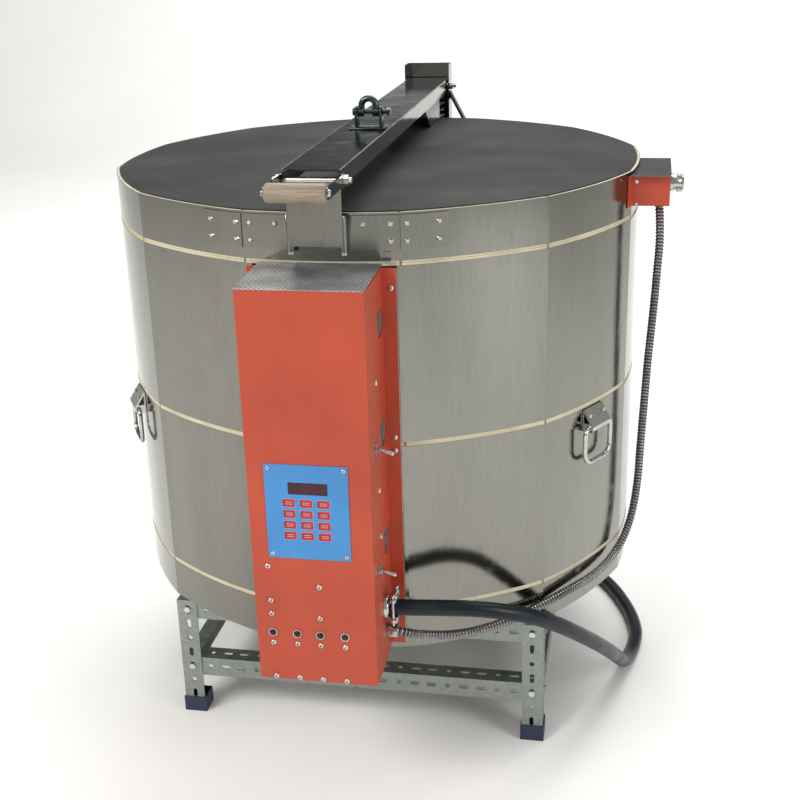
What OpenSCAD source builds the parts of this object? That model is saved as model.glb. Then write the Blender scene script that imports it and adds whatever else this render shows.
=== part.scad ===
// Front-controlled electric pottery kiln: two brick sections in steel jackets on a slotted-angle
// stand, a spring-assisted hinged lid, and a control box on the front facet.
// Origin: on the kiln's vertical axis at floor level. Front is -Y, up is +Z. Millimetres.

/* [Body] */
// Distance from the axis to the middle of a jacket facet
body_r = 423; // [400:1:450]
// Radius of each gently bowed facet
facet_bow_r = 628; // [560:1:900]
// Wall thickness of the soft brick
brick_t = 63; // [55:1:75]
// Height of one brick section
section_h = 267; // [229:1:343]
// Thickness of the floor slab
floor_t = 66; // [60:1:80]
// Thickness of the lid, cover included
lid_t = 72; // [66:1:90]
// Height of brick left bare at each jacket edge
seam_bare = 3.5; // [2:0.5:5]
// Jacket sheet thickness
jacket_t = 0.8; // [0.6:0.1:1.5]

/* [Stand] */
// Height of the stand, feet included
stand_h = 214; // [180:1:300]
// Half width of the stand over its legs
stand_x = 305; // [280:1:320]
// Half depth of the stand over its legs
stand_y = 305; // [280:1:320]
// Flange width of the slotted angle
angle_w = 34; // [30:1:38]
// Sheet thickness of the slotted angle
angle_t = 2; // [1.6:0.1:3]
// Height of the lower rail's top flange
lower_rail_z = 105; // [90:1:130]

/* [Control box] */
// Width of the box
box_w = 174; // [150:1:200]
// Distance from the axis to the front face
box_front = 548; // [530:1:560]
// Distance from the axis to the mounting plane
box_back = 423.2; // [423.2:0.2:430]
// Height of the underside above the floor
box_bottom = 238; // [228:1:250]
// Height of the top grille above the floor
box_top = 822; // [790:1:824]
// Half width of the mounting flange
flange_x = 106; // [96:1:108]

/* [Lid gear] */
// Outer width of the lift bar
bar_w = 80; // [70:1:90]
// Height of the bar's side walls
bar_h = 25; // [22:1:30]
// Height of the bar's top above the floor
bar_top = 960; // [955:1:964]
// Distance of the hinge pin behind the axis
hinge_y = 512; // [505:1:518]
// Height of the hinge pin
hinge_z = 947; // [944:1:950]
// Diameter of the hinge pin
hinge_d = 9.5; // [8:0.5:10]

/* [Leads] */
// Power cord diameter
cord_d = 24; // [20:1:28]
// Flexible conduit diameter
conduit_d = 14; // [11:1:16]

/* [Hidden] */

$fn = 48;
facets = 12;
facet_step = 360 / facets;
floor_z = stand_h + 12;
lower_z = floor_z + floor_t;
upper_z = lower_z + section_h;
lid_z = upper_z + section_h;
brick_out = body_r - jacket_t;
brick_in = brick_out - brick_t;
bar_bottom = bar_top - bar_h;
sheet_t = 2;
facet_back = facet_bow_r - body_r;
bar_front = 452;
bar_rear = 528;
rod_y = 444;
rod_z = bar_bottom + 10;
grip_y = 530;
lid_body_t = lid_t - 2;
lid_cover_top = lid_z + lid_t;
// Where the power cord runs: out of its clamp, down past the right side, round the back.
cord_route = [[80, -478, 330], [120, -478, 330], [165, -473, 330], [212, -465, 328],
              [256, -450, 318], [296, -427, 300], [334, -385, 264], [367, -333, 218],
              [393, -270, 166], [410, -200, 112], [421, -135, 64], [430, -82, 27],
              [439, -40, 14], [447, 5, 12], [449, 50, 12], [440, 105, 12],
              [423, 160, 12], [400, 214, 12], [371, 262, 12], [336, 312, 12],
              [298, 362, 12], [256, 410, 12], [206, 450, 12], [150, 482, 12],
              [92, 499, 12], [30, 506, 12], [-34, 506, 12], [-98, 501, 12],
              [-158, 495, 16], [-210, 490, 22], [-246, 487, 26]];
// Where the lead to the lid runs: down the right side, round the floor band, into the box.
conduit_route = [[455, -95, 842], [457, -95, 815], [458, -95, 780], [456, -96, 735],
                 [454, -98, 690], [451, -100, 640], [448, -101, 590], [446, -102, 540],
                 [444, -103, 490], [442, -105, 440], [440, -108, 385], [434, -116, 335],
                 [424, -131, 300], [411, -152, 279], [397, -184, 271], [378, -220, 267],
                 [357, -252, 266], [332, -284, 264], [304, -314, 259], [274, -342, 254],
                 [242, -372, 252], [208, -402, 254], [175, -428, 260], [148, -448, 269],
                 [128, -464, 278], [114, -472, 285], [104, -473, 287], [92, -473, 287]];

// ---- shared shapes -------------------------------------------------------------------------

// Plan outline of the body: a twelve-sided figure whose sides are shallow arcs.
module outline(r)
    intersection_for(k = [0:facets - 1])
        rotate(k * facet_step)
            translate([0, facet_bow_r - r])
                circle(facet_bow_r, $fn = 96);

module slab(r, z, h)
    translate([0, 0, z])
        linear_extrude(h)
            outline(r);

module shell(r, t, z, h)
    translate([0, 0, z])
        linear_extrude(h)
            difference() {
                outline(r);
                outline(r - t);
            }

// A place on facet number k, b degrees along its bow from the middle, r out from the sheet.
module on_facet(k, b, r, z)
    rotate(k * facet_step)
        translate([0, facet_back, 0])
            rotate(b)
                translate([0, -facet_bow_r - r, z])
                    children();

// A plate that follows the bow of facet k between b0 and b1.
module bowed_plate(k, b0, b1, gap, t, low, high)
    rotate(k * facet_step)
        translate([0, facet_back, low])
            rotate(b0 - 90)
                rotate_extrude(angle = b1 - b0, $fn = 96)
                    translate([facet_bow_r + gap, 0])
                        square([t, high - low]);

module torus(ring_r, wire_r, z)
    translate([0, 0, z])
        rotate_extrude($fn = 96)
            translate([ring_r, 0])
                circle(wire_r, $fn = 16);

// A round rod along X, from x0 to x1.
module rod_x(x0, x1, d)
    translate([x0, 0, 0])
        rotate([0, 90, 0])
            cylinder(h = x1 - x0, d = d);

// A pan-head screw whose head rises along -Y from the surface at y = 0.
module screw_head(d, h)
    rotate([90, 0, 0])
        cylinder(h = h, d1 = d, d2 = d * 0.62, $fn = 24);

module block(low, high)
    translate(low)
        cube(high - low);

// ---- tube sweep along a route --------------------------------------------------------------

function unit(v) = v / norm(v);
function spline(a, b, c, d, t) =
    0.5 * (2 * b + (c - a) * t + (2 * a - 5 * b + 4 * c - d) * t * t
           + (3 * b - a - 3 * c + d) * t * t * t);
function clamped(p, i) = p[max(0, min(len(p) - 1, i))];
function dense(p, n) = [
    for (i = [0:len(p) - 2], k = [0:n - 1])
        spline(clamped(p, i - 1), p[i], p[i + 1], clamped(p, i + 2), k / n),
    p[len(p) - 1]
];
function tangent(p, i) = unit(clamped(p, i + 1) - clamped(p, i - 1));
function carried(v, t) = unit(v - (v * t) * t);
function frames(p, v, i = 0) =
    i == len(p) ? [] : let (w = carried(v, tangent(p, i))) concat([w], frames(p, w, i + 1));

module tube(route, d, per, sides) {
    p = dense(route, per);
    across = frames(p, [0, 0.05, 1]);
    points = [
        for (i = [0:len(p) - 1], s = [0:sides - 1])
            let (u = across[i], w = cross(tangent(p, i), u), a = 360 * s / sides)
                p[i] + d / 2 * (cos(a) * u + sin(a) * w)
    ];
    walls = [
        for (i = [0:len(p) - 2], s = [0:sides - 1])
            let (a = i * sides + s, b = i * sides + (s + 1) % sides)
                [a, a + sides, b + sides, b]
    ];
    last = (len(p) - 1) * sides;
    start_cap = [for (s = [0:sides - 1]) s];
    end_cap = [for (s = [sides - 1:-1:0]) last + s];
    polyhedron(points, concat(walls, [start_cap, end_cap]), convexity = 8);
}

// ---- stand ---------------------------------------------------------------------------------

slot_pitch = 27;
rail_first = 20.25;
leg_first = 31;

// One flange of slotted angle on XY from x = 0 to length; every third opening is round.
module flange(length, width, first)
    linear_extrude(angle_t)
        difference() {
            square([length, width]);
            for (k = [0:floor((length - 13 - first) / slot_pitch)])
                translate([first + k * slot_pitch, width / 2 + 1])
                    slot_or_hole(k % 3 == 1);
        }

module slot_or_hole(is_round) {
    if (is_round)
        circle(4, $fn = 20);
    else
        union() {
            square([9, 7], center = true);
            for (side = [-4.5, 4.5])
                translate([side, 0])
                    circle(3.5, $fn = 20);
        }
}

// Slotted angle along +X: one flange stands on the XZ plane, the other lies on top of it.
module angle_bar(length, first) {
    translate([0, angle_t, -angle_w])
        rotate([90, 0, 0])
            flange(length, angle_w, first);
    translate([0, angle_t, -angle_t])
        flange(length, angle_w - angle_t, first);
}

module at_corners()
    for (sx = [0, 1], sy = [0, 1])
        mirror([sx, 0, 0])
            mirror([0, sy, 0])
                translate([stand_x, -stand_y, 0])
                    children();

foot_h = 27;
foot_floor = 4;
rail_gap = 0.2;
bolt_below = 16.3;

module stand_legs()
    color("silver")
        at_corners()
            translate([0, angle_t, foot_floor]) {
                rotate([90, -90, 0])
                    flange(stand_h - foot_floor, angle_w, leg_first);
                rotate([0, -90, 0])
                    flange(stand_h - foot_floor, angle_w - angle_t, leg_first);
            }

module foot_caps()
    color("midnightblue")
        at_corners()
            difference() {
                translate([-angle_w - 2, -2, 0])
                    cube([angle_w + 4, angle_w + 4, foot_h]);
                translate([-angle_w - 0.2, -0.2, foot_floor])
                    cube([angle_w + 0.4, angle_w + 0.4, foot_h]);
            }

// Four rails in a square: the side pair sits one sheet lower so that the corners lap.
module rails(z) {
    for (turn = [0, 180])
        rotate(turn)
            translate([angle_t - stand_x, angle_t - stand_y, z])
                angle_bar(2 * (stand_x - angle_t), rail_first);
    for (turn = [90, 270])
        rotate(turn)
            translate([rail_gap + 2 * angle_t - stand_y, angle_t - stand_x, z - angle_t - rail_gap])
                angle_bar(2 * (stand_y - 2 * angle_t - rail_gap), rail_first - 2.25);
}

module upper_rails()
    color("silver")
        rails(stand_h);

module lower_rails()
    color("silver")
        rails(lower_rail_z);

// A hexagon-headed bolt through two thicknesses of angle, with its nut inside.
module rail_bolt() {
    translate([0, -3.6, 0])
        rotate([-90, 0, 0])
            cylinder(h = 3.6, d = 11, $fn = 6);
    rotate([-90, 0, 0])
        cylinder(h = 12, d = 6, $fn = 20);
    translate([0, 2 * angle_t, 0])
        rotate([-90, 0, 0])
            cylinder(h = 4, d = 10, $fn = 6);
}

module stand_bolts()
    color("gainsboro")
        at_corners()
            for (z = [stand_h - bolt_below, lower_rail_z - bolt_below]) {
                translate([-angle_w / 2 - 1, 0, z])
                    rail_bolt();
                translate([0, angle_w / 2 + 2, z - 2])
                    rotate(90)
                        rail_bolt();
            }

// ---- body ----------------------------------------------------------------------------------

module base_board()
    color("dimgray")
        slab(brick_out - 17, stand_h, floor_z - stand_h);

module floor_slab()
    color("cornsilk")
        slab(brick_out, floor_z, floor_t);

module floor_band()
    color("lightgray")
        shell(body_r, jacket_t, floor_z, floor_t - seam_bare);

element_r = brick_in + 6;
element_pitch = section_h / 3;
terminal_x = 30;
tc_z = upper_z + 66;

module element_grooves(z)
    for (k = [0:2])
        translate([0, 0, z + element_pitch * (k + 0.5)])
            rotate_extrude($fn = 96)
                translate([brick_in - 12, -8])
                    square([25, 16]);

module brick_ring(z)
    color("cornsilk")
        difference() {
            slab(brick_out, z, section_h);
            translate([0, 0, z - 1])
                cylinder(h = section_h + 2, r = brick_in, $fn = 96);
            element_grooves(z);
            wall_bores(z);
        }

// Bores through the front wall: two for each coil, and one for the thermocouple above.
module wall_bores(z)
    for (x = [-terminal_x, terminal_x], k = [0:2])
        translate([x, -brick_in + 30, z + element_pitch * (k + 0.5)])
            rotate([90, 0, 0])
                cylinder(h = 120, d = 12.4);

module lower_brick_ring()
    brick_ring(lower_z);

module upper_brick_ring()
    difference() {
        brick_ring(upper_z);
        translate([0, -brick_in + 30, tc_z])
            rotate([90, 0, 0])
                cylinder(h = 120, d = 10.4);
    }

module sheet_bores(z)
    for (x = [-terminal_x, terminal_x], k = [0:2])
        translate([x, -body_r + 12, z + element_pitch * (k + 0.5)])
            rotate([90, 0, 0])
                cylinder(h = 30, d = 14);

module jacket(z)
    color("lightgray")
        difference() {
            shell(body_r, jacket_t, z + seam_bare, section_h - 2 * seam_bare);
            sheet_bores(z);
            translate([0, -body_r + 12, tc_z])
                rotate([90, 0, 0])
                    cylinder(h = 30, d = 12);
        }

module lower_jacket()
    jacket(lower_z);

module upper_jacket()
    jacket(upper_z);

module wall_elements()
    color("dimgray")
        for (z = [lower_z, upper_z], k = [0:2])
            torus(element_r, 5.5, z + element_pitch * (k + 0.5));

// Ceramic bushings in the wall, each with the coil's tail and a clamp stud in the box.
module element_terminals()
    color("white")
        for (z = [lower_z, upper_z], x = [-terminal_x, terminal_x], k = [0:2])
            translate([x, 0, z + element_pitch * (k + 0.5)])
                rotate([90, 0, 0]) {
                    translate([0, 0, element_r + 7])
                        cylinder(h = 73, d = 12);
                    translate([0, 0, element_r + 80])
                        cylinder(h = 16, d = 7);
                }

module thermocouple()
    color("white")
        translate([0, -brick_in + 45, tc_z])
            rotate([90, 0, 0]) {
                cylinder(h = 118, d = 10);
                translate([0, 0, 118])
                    cylinder(h = 14, d = 20);
            }

// ---- side handles --------------------------------------------------------------------------

handle_a = [-2, 2];
pivot_out = 12;
pivot_z = upper_z - 33;
bail_half = 35;
bail_drop = 57;
bail_wire = 7;
bail_bend = 9;
bail_corner = 18;
sleeve_w = 50;

// Folded strap: a back plate, a slanted front and a sleeve that holds the bail's two ends.
module handle_bracket()
    rotate([90, 0, 90])
        translate([0, 0, -sleeve_w / 2])
            linear_extrude(sleeve_w)
                difference() {
                    polygon([[-0.1, 28], [-2.6, 28], [-19, 3], [-19, -3], [-15, -7], [-0.1, -7]]);
                    polygon([[-2.4, 23], [-12.6, 7], [-2.4, 7]]);
                    translate([-pivot_out, 0])
                        circle(bail_wire / 2 + 0.1);
                }

module handle_brackets()
    color("silver")
        for (k = handle_a)
            on_facet(k, 0, 0, pivot_z) {
                handle_bracket();
                for (x = [-19, 19])
                    translate([x, -2.2, 18])
                        rotate([90, 0, 0])
                            translate([0, 0, 6])
                                cylinder(h = 2.4, d = 7);
            }

module quarter_bend(r)
    rotate_extrude(angle = 90)
        translate([r, 0])
            circle(d = bail_wire);

// Bent wire bail: two ends turned into the sleeve, two legs, rounded corners and a hand bar.
module bail(k)
    color("silver")
        on_facet(k, 0, pivot_out, pivot_z)
            for (side = [0, 1])
                mirror([side, 0, 0]) {
                    rod_x(bail_half - bail_bend - 10, bail_half - bail_bend, bail_wire);
                    translate([bail_half - bail_bend, 0, -bail_bend])
                        rotate([90, 0, 0])
                            quarter_bend(bail_bend);
                    translate([bail_half, 0, bail_corner - bail_drop])
                        cylinder(h = bail_drop - bail_bend - bail_corner, d = bail_wire);
                    translate([bail_half - bail_corner, 0, bail_corner - bail_drop])
                        rotate([90, 90, 0])
                            quarter_bend(bail_corner);
                    translate([0, 0, -bail_drop])
                        rod_x(0, bail_half - bail_corner, bail_wire);
                }

module handle_bail_left()
    bail(handle_a[0]);

module handle_bail_right()
    bail(handle_a[1]);

// ---- control box ---------------------------------------------------------------------------

box_x = box_w / 2;
cover_back = 470;
base_front = 496;
case_t = 1.5;
vent_z = [750, 590, 422];
vent_y = 448;
vent_d = 40;
toggle_at = [[510, 590], [518, 409]];
clamp_y = 478;
clamp_z = 330;
fitting_y = 473;
fitting_z = 287;
grille_tilt = 2;

module side_bore(y, z, d)
    translate([0, -y, z])
        rod_x(box_x - 8, box_x + 8, d);

// Base: a tray on the facet with side flanges and round vents, its front edge in the cover.
module case_base()
    color("orangered")
        difference() {
            union() {
                block([-flange_x, -box_back - case_t, box_bottom], [flange_x, -box_back, box_top]);
                for (side = [0, 1])
                    mirror([side, 0, 0])
                        block([box_x - 2 * case_t, -base_front, box_bottom + case_t],
                              [box_x - case_t, -box_back, box_top]);
                block([case_t - box_x, -base_front, box_bottom + case_t],
                      [box_x - case_t, -box_back, box_bottom + 2 * case_t]);
            }
            for (side = [0, 1], z = vent_z)
                mirror([side, 0, 0])
                    side_bore(vent_y, z, vent_d);
            side_bore(clamp_y, clamp_z, 27);
            side_bore(fitting_y, fitting_z, 16);
            for (z = [lower_z, upper_z], x = [-terminal_x, terminal_x], k = [0:2])
                translate([x, -box_back + 10, z + element_pitch * (k + 0.5)])
                    rotate([90, 0, 0])
                        cylinder(h = 20, d = 15);
            translate([0, -box_back + 10, tc_z])
                rotate([90, 0, 0])
                    cylinder(h = 20, d = 22);
        }

// Cover: front, two sides and bottom folded from one sheet, over the base's edges.
module case_cover()
    color("orangered")
        difference() {
            block([-box_x, -box_front, box_bottom], [box_x, -cover_back, box_top]);
            block([case_t - box_x, case_t - box_front, box_bottom + case_t],
                  [box_x - case_t, 1 - cover_back, box_top + 1]);
            for (t = toggle_at)
                side_bore(t[0], t[1], 12.4);
            side_bore(clamp_y, clamp_z, 27);
            side_bore(fitting_y, fitting_z, 16);
            translate([display_x - 28, -box_front - 1, display_z - 9])
                cube([56, 4, 18]);
            for (x = lamp_x)
                translate([x, -box_front + 5, lamp_z])
                    rotate([90, 0, 0])
                        cylinder(h = 10, d = 10.4);
        }

// Grille: a perforated sheet set in the open top, a little higher at the back.
module case_grille()
    color("gray")
        translate([0, -box_front, box_top + 0.2])
            rotate([grille_tilt, 0, 0])
                block([-box_x, 0, 0], [box_x, box_front - box_back - case_t - 0.5, 1.2]);

// Faceplate, its window, keys and lamps.
plate_x = [-62, 56];
plate_z = [436, 578];
display_x = -1;
display_z = 543;
key_x = [-28.5, -4, 20.5];
key_z = [521, 504.5, 488, 471.5];
lamp_x = [-64, -28, 6, 42];
lamp_z = 315;
plate_t = 1.2;
board_y = 530;

module faceplate()
    color("cornflowerblue")
        difference() {
            block([plate_x[0], -box_front - plate_t, plate_z[0]],
                  [plate_x[1], -box_front, plate_z[1]]);
            block([display_x - 28, -box_front - 3, display_z - 9],
                  [display_x + 28, -box_front + 1, display_z + 9]);
        }

module display_window()
    color("maroon")
        block([display_x - 27.8, -box_front - 0.8, display_z - 8.8],
              [display_x + 27.8, -board_y, display_z + 8.8]);

// Board behind the faceplate on four spacers, with a row of chips at its back.
module controller_board()
    color("darkgreen") {
        block([plate_x[0] + 4, -board_y, plate_z[0] + 4], [plate_x[1] - 4, 2 - board_y, plate_z[1] - 4]);
        for (x = [plate_x[0] + 12, plate_x[1] - 12], z = [plate_z[0] + 12, plate_z[1] - 12])
            translate([x, -board_y, z])
                rotate([90, 0, 0])
                    cylinder(h = box_front - case_t - board_y, d = 6);
        for (k = [0:2])
            block([30 * k - 45, 2 - board_y, 470], [30 * k - 25, 8 - board_y, 500]);
    }

module keypad_keys()
    color("crimson")
        for (x = key_x, z = key_z)
            block([x - 9, -box_front - plate_t - 0.6, z - 6.2],
                  [x + 9, -box_front - plate_t, z + 6.2]);

module pilot_lamps()
    color("darkred")
        for (x = lamp_x)
            translate([x, -box_front, lamp_z])
                rotate([90, 0, 0]) {
                    cylinder(h = 1.6, d = 14);
                    translate([0, 0, -14])
                        cylinder(h = 18, d = 10, $fn = 32);
                }

front_screws = [[-65, 421], [8, 392], [-64, 366], [-64, 345], [7, 342], [-64, 298], [-28, 298],
                [6, 298], [42, 298], [-63, 242], [-28, 242], [7, 242], [42, 242]];
plate_screws = [for (x = [plate_x[0] + 6, plate_x[1] - 6], z = [plate_z[0] + 6, plate_z[1] - 6])
                [x, z]];
flange_screws = [[98, 794], [98, 574], [98, 554], [-98, 794], [-98, 564], [98, 290], [-98, 290]];
side_screws = [[493, 521], [493, 680], [493, 450]];

module case_screws()
    color("gainsboro") {
        for (s = front_screws)
            translate([s[0], -box_front, s[1]])
                screw_head(8, 3);
        for (s = plate_screws)
            translate([s[0], -box_front - plate_t, s[1]])
                screw_head(6, 2.4);
        for (s = flange_screws)
            translate([s[0], -box_back - case_t, s[1]])
                screw_head(9, 3.4);
        for (s = side_screws, turn = [0, 1])
            mirror([turn, 0, 0])
                translate([box_x, -s[0], s[1]])
                    rotate([0, 0, 90])
                        screw_head(7, 2.6);
    }

module toggle_bushings()
    color("silver")
        for (t = toggle_at)
            translate([0, -t[0], t[1]])
                difference() {
                    union() {
                        rod_x(box_x - 14, box_x + 7, 12);
                        rod_x(box_x, box_x + 2.4, 17);
                    }
                    rod_x(box_x - 1, box_x + 8, 9);
                }

// Toggle lever: a round barrel in the bushing and a bat-shaped lever, tipped down at rest.
toggle_tip = 15;
toggle_pivot = box_x + 4;

module toggle_lever(t)
    color("silver")
        translate([toggle_pivot, -t[0], t[1]])
            rotate([0, 90 + toggle_tip, 0]) {
                rotate([90, 0, 0])
                    cylinder(h = 6, d = 6, center = true);
                cylinder(h = 20, d1 = 3.6, d2 = 6);
                translate([0, 0, 20])
                    sphere(d = 6);
            }

module toggle_lever_upper()
    toggle_lever(toggle_at[0]);

module toggle_lever_lower()
    toggle_lever(toggle_at[1]);

module relays()
    color("black")
        for (x = [-52, 0, 52])
            block([x - 20, -box_back - 50, 712], [x + 20, -box_back - case_t, 762]);

module transformer()
    color("dimgray")
        block([-58, -box_back - 52, 446], [-8, -box_back - case_t, 496]);

module terminal_block()
    color("saddlebrown")
        difference() {
            block([-60, -box_back - 34, 294], [56, -box_back - case_t, 324]);
            for (k = [-2:2])
                translate([k * 22, -box_back - 30, 309])
                    rotate([90, 0, 0])
                        cylinder(h = 10, d = 8);
        }

// ---- rear hinge gear -----------------------------------------------------------------------

post_x = 44;
post_t = 2.5;
post_web = 540;
post_top = 988;
flange_y = 500;
post_low = 330;
post_deep_top = lid_z - 16;
post_base_y = body_r + 3.2;
spring_z = 760;
spring_y = 483;
spring_x = 22;
spring_od = 34;

// Post: a channel with its web at the back, welded to a plate on the rear facet.
// It is deep below the lid and shallow above it, and a shelf inside carries the springs.
module hinge_post()
    color("silver")
        difference() {
            union() {
                block([-post_x, post_web - post_t, post_low], [post_x, post_web, post_top]);
                for (side = [0, 1])
                    mirror([side, 0, 0]) {
                        block([post_x - post_t, flange_y, post_low], [post_x, post_web, post_top]);
                        block([post_x - post_t, post_base_y - 1, post_low],
                              [post_x, post_web, post_deep_top]);
                    }
                block([-98, post_base_y - 3, post_low], [98, post_base_y, post_deep_top]);
                block([1 - post_x, post_base_y + 30, spring_z - 4],
                      [post_x - 1, post_web - 1, spring_z]);
            }
            translate([0, hinge_y, hinge_z])
                rod_x(-60, 60, hinge_d + 0.1);
            for (x = [-80, 80], z = [post_low + 24, (post_low + post_deep_top) / 2, post_deep_top - 24])
                translate([x, post_base_y - 10, z])
                    rotate([-90, 0, 0])
                        cylinder(h = 20, d = 7);
            for (side = [-1, 1])
                translate([side * spring_x, spring_y, spring_z - 10])
                    cylinder(h = 20, d = 9);
        }

// Stays: bent flats from the top of the post out and down to feet on the next facets.
stay_top = [post_x + 1.5, 506, 934];
stay_foot = [146, 409, 784];

module stay_end(p)
    translate(p - [1.5, 8, 3])
        cube([3, 16, 6]);

module hinge_stays()
    color("slategray")
        for (side = [0, 1])
            mirror([side, 0, 0]) {
                block([post_x, 498, 922], [post_x + 3, 514, 937]);
                hull() {
                    stay_end(stay_top);
                    stay_end(stay_foot);
                }
                on_facet(5, 6.7, 0.2, 742)
                    translate([-8, -3, 0])
                        cube([16, 3, 44]);
            }

module lid_springs()
    color("dimgray")
        for (side = [-1, 1])
            translate([side * (spring_x - 1.5), spring_y, spring_z])
                difference() {
                    cylinder(h = bar_bottom - 0.5 - spring_z, d = spring_od);
                    translate([0, 0, -1])
                        cylinder(h = bar_bottom + 2 - spring_z, d = spring_od - 10);
                }

module hinge_pin()
    color("gainsboro")
        translate([0, hinge_y, hinge_z]) {
            rod_x(-post_x - 6, post_x + 13, hinge_d);
            rod_x(-post_x - 6, -post_x, 16);
            rod_x(post_x, post_x + 7, 15);
        }

// ---- lid -----------------------------------------------------------------------------------

lid_rings = [110, 190, 270];
strap_low = lid_z + 19;
strap_top = lid_z + 67;

module lid_slab()
    color("cornsilk")
        difference() {
            slab(brick_out, lid_z + 0.5, lid_body_t - 0.5);
            for (r = lid_rings)
                translate([0, 0, lid_z - 1])
                    difference() {
                        cylinder(h = 15, r = r + 8, $fn = 96);
                        translate([0, 0, -1])
                            cylinder(h = 17, r = r - 8, $fn = 96);
                    }
        }

module lid_elements()
    color("dimgray")
        for (r = lid_rings)
            torus(r, 5.5, lid_z + 8);

module lid_band()
    color("lightgray")
        shell(body_r, jacket_t, lid_z + seam_bare, lid_body_t - seam_bare);

module lid_cover()
    color("dimgray")
        slab(brick_out - 4, lid_z + lid_body_t, lid_t - lid_body_t);

// Straps: two plates on the band each side of the apron, the inner one curled round a pin.
strap_t = 2;
curl_x = 37;
curl_y = 433;
curl_d = 10;
pin_d = 6;
corner_b = 10.1;

module strap_half() {
    bowed_plate(0, 3.2, corner_b, 0.1, strap_t, strap_low, strap_top);
    bowed_plate(1, -corner_b, -3.9, 0.1, strap_t, strap_low, strap_top);
    difference() {
        union() {
            translate([curl_x, -curl_y, strap_low])
                cylinder(h = strap_top - strap_low, d = curl_d);
            block([curl_x + 3.2, -curl_y, strap_low], [curl_x + 4.8, -body_r, strap_top]);
        }
        translate([curl_x, -curl_y, strap_low - 1])
            cylinder(h = strap_top - strap_low + 2, d = pin_d + 0.1);
    }
}

module lid_straps()
    color("silver") {
        for (side = [0, 1])
            mirror([side, 0, 0])
                strap_half();
        on_facet(0, 8.4, 0.1, lid_z + 5) {
            translate([-6, -1.6, 0])
                cube([12, 1.6, 12]);
            translate([-6, -10, 0])
                cube([12, 9, 1.6]);
        }
    }

module strap_pins()
    color("gainsboro")
        for (side = [-1, 1])
            translate([side * curl_x, -curl_y, strap_low - 4]) {
                cylinder(h = strap_top - strap_low + 6, d = pin_d);
                cylinder(h = 3.8, d = 8);
            }

rivets = [[0, 9, 0], [0, 9, 1], [0, 5.6, 1], [1, -9.3, 0], [1, -9.3, 1], [1, -5.2, 0], [1, -5.2, 1]];

module lid_rivets()
    color("gainsboro")
        for (side = [0, 1], p = rivets)
            mirror([side, 0, 0])
                on_facet(p[0], p[1], 0.1 + strap_t, p[2] == 0 ? strap_low + 12 : strap_top - 12)
                    screw_head(8, 3);

// Lift bar: an inverted channel from the grip at the front to the hinge post at the back.
module lift_bar()
    color("silver")
        difference() {
            block([-bar_w / 2, -bar_front, bar_bottom], [bar_w / 2, bar_rear, bar_top]);
            difference() {
                block([-bar_w / 2 + sheet_t, -bar_front - 1, bar_bottom - 1],
                      [bar_w / 2 - sheet_t, bar_rear + 1, bar_top - sheet_t]);
                block([-bar_w / 2, spring_y - 17, bar_bottom],
                      [bar_w / 2, spring_y + 17, bar_bottom + sheet_t]);
            }
            translate([0, hinge_y, hinge_z])
                rod_x(-60, 60, hinge_d + 0.1);
            translate([0, -rod_y, rod_z])
                rod_x(-60, 60, 8.1);
        }

// Gussets: side plates that carry the bar on the lid, sloped at the front.
module bar_gussets()
    color("dimgray")
        for (side = [-1, 1])
            translate([side * (bar_w / 2 - sheet_t - 1), 0, 0])
                rotate([90, 0, 90])
                    translate([0, 0, -1])
                        linear_extrude(2)
                            polygon([[412, lid_cover_top], [412, bar_top - sheet_t],
                                     [250, bar_top - sheet_t], [250, bar_bottom],
                                     [300, lid_cover_top]]);

// Apron: the front plate that hangs from the bar between the two curled straps.
apron_y = 440;
apron_x = bar_w / 2 - sheet_t;

module apron_plate()
    color("silver") {
        block([-apron_x, -apron_y - 2, strap_low + 9], [apron_x, -apron_y, bar_bottom + 6]);
        block([-apron_x, -apron_y - 2, bar_bottom - 4], [apron_x, 8 - body_r, bar_bottom - 2]);
        block([-24, 6 - body_r, lid_cover_top], [24, 8 - body_r, bar_bottom - 2]);
    }

// Lifting point: a plate with two lugs on the bar, a cross pin and a bow that turns on it.
bow_x = 10;
bow_y = 112;
bow_pin_z = bar_top + 26;
bow_rod = 10;
bow_r = 11.5;
bow_rise = 8.5;
lug_in = bow_r + bow_rod / 2 + 0.5;
lug_t = 4;

module bow_base()
    color("slategray")
        translate([bow_x, -bow_y, 0])
            difference() {
                union() {
                    block([-30, -13, bar_top], [30, 13, bar_top + 3]);
                    for (side = [0, 1])
                        mirror([side, 0, 0]) {
                            block([lug_in, -9, bar_top + 2], [lug_in + lug_t, 9, bow_pin_z]);
                            translate([0, 0, bow_pin_z])
                                rod_x(lug_in, lug_in + lug_t, 18);
                        }
                }
                translate([0, 0, bow_pin_z])
                    rod_x(-40, 40, 7.1);
            }

module bow_pin()
    color("gainsboro")
        translate([bow_x, -bow_y, bow_pin_z]) {
            rod_x(-lug_in - lug_t - 4, 34, 7);
            rod_x(-lug_in - lug_t - 4, -lug_in - lug_t, 12);
            translate([28, 0, 0])
                rotate([0, 90, 0])
                    cylinder(h = 5.5, d = 12.5, $fn = 6);
        }

module lifting_bow()
    color("slategray")
        translate([bow_x, -bow_y, bow_pin_z])
            difference() {
                union() {
                    for (side = [-1, 1]) {
                        translate([side * bow_r - bow_rod / 2, 0, 0])
                            rod_x(0, bow_rod, 15);
                        translate([side * bow_r, 0, 0])
                            cylinder(h = bow_rise, d = bow_rod);
                    }
                    translate([0, 0, bow_rise])
                        rotate([90, 0, 0])
                            rotate_extrude(angle = 180)
                                translate([bow_r, 0])
                                    circle(d = bow_rod);
                }
                rod_x(-40, 40, 7.2);
            }

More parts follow.
